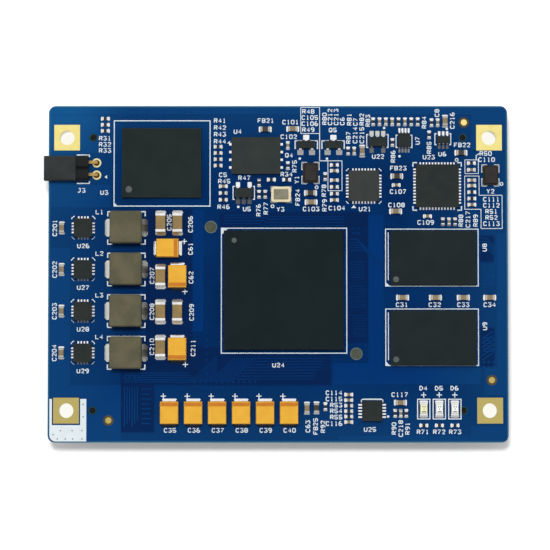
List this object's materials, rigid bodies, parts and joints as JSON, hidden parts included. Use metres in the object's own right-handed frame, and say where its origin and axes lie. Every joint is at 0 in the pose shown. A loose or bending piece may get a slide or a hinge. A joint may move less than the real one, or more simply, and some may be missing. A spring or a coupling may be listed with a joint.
{
  "type": "system on module",
  "caption": "Flat blue processor board with memory, storage, power stages and passives on top, four plated corner holes and two stacking connectors underneath.",
  "frame": {"origin": "centre of the four mounting holes, on the board's underside", "axes": "+X along the board's long side, to the right in the picture; +Y to the picture's top edge; +Z out of the component side"},
  "size_m": [0.0757, 0.055, 0.0087],
  "materials": {
    "solder_mask": "glossy blue solder mask over copper",
    "gold_plating": "gold plating, satin",
    "bare_copper": "copper under mask, olive",
    "tin_solder": "bright tin and solder",
    "substrate_laminate": "package substrate laminate",
    "processor_mould": "fine matt moulding compound",
    "memory_mould": "fine matt moulding compound",
    "package_mould": "matt moulding compound",
    "inductor_composite": "pressed iron powder, matt olive grey",
    "bulk_mould": "yellow moulded resin with a darker band",
    "ceramic_tan": "fired tan ceramic",
    "resistor_coat": "black glaze on white ceramic",
    "bead_ferrite": "dark fired ferrite",
    "lamp_resin": "cream translucent resin",
    "crystal_ceramic": "dark brown ceramic",
    "crystal_lid_metal": "dark brushed lid",
    "oscillator_ceramic": "cream ceramic",
    "oscillator_lid_metal": "pale gold brushed lid",
    "connector_nylon": "black moulded nylon",
    "shunt_nylon": "dark grey moulded nylon"
  },
  "bodies": {
    "root": {"circuit_board": "solder_mask", "mounting_lands": "gold_plating", "fiducial_lands": "gold_plating", "processor_fiducials": "bare_copper", "header_hole_lands": "gold_plating", "processor_substrate": "substrate_laminate", "processor_mould_cap": "processor_mould", "processor_solder_balls": "tin_solder", "memory_upper_substrate": "substrate_laminate", "memory_upper_mould_cap": "memory_mould", "memory_lower_substrate": "substrate_laminate", "memory_lower_mould_cap": "memory_mould", "memory_solder_balls": "tin_solder", "storage_substrate": "substrate_laminate", "storage_mould_cap": "memory_mould", "storage_solder_balls": "tin_solder", "boot_flash_body": "package_mould", "network_interface_body": "package_mould", "bus_interface_body": "package_mould", "regulator_1_body": "package_mould", "regulator_2_body": "package_mould", "regulator_3_body": "package_mould", "regulator_4_body": "package_mould", "supervisor_body": "package_mould", "leadframe_pads": "tin_solder", "inductor_1_core": "inductor_composite", "inductor_2_core": "inductor_composite", "inductor_3_core": "inductor_composite", "inductor_4_core": "inductor_composite", "inductor_terminals": "tin_solder", "bulk_capacitor_bodies": "bulk_mould", "bulk_capacitor_terminals": "tin_solder", "output_capacitor_bodies": "ceramic_tan", "ceramic_capacitor_bodies": "ceramic_tan", "resistor_bodies": "resistor_coat", "ferrite_bead_bodies": "bead_ferrite", "chip_end_caps": "tin_solder", "led_substrates": "lamp_resin", "led_lenses": "lamp_resin", "crystal_bases": "crystal_ceramic", "crystal_lids": "crystal_lid_metal", "oscillator_base": "oscillator_ceramic", "oscillator_lid": "oscillator_lid_metal", "transistor_bodies": "package_mould", "transistor_leads": "tin_solder", "small_ic_bodies": "package_mould", "small_ic_leads": "tin_solder", "header_insulator": "connector_nylon", "header_pins": "gold_plating", "shunt_housing": "shunt_nylon", "shunt_contact": "gold_plating", "connector_upper_housing": "connector_nylon", "connector_upper_contacts": "gold_plating", "connector_lower_housing": "connector_nylon", "connector_lower_contacts": "gold_plating", "underside_capacitor_bodies": "ceramic_tan", "underside_end_caps": "tin_solder", "solder_joints": "tin_solder", "underside_solder_joints": "tin_solder", "clock_solder_lands": "tin_solder"}
  },
  "joints": []
}
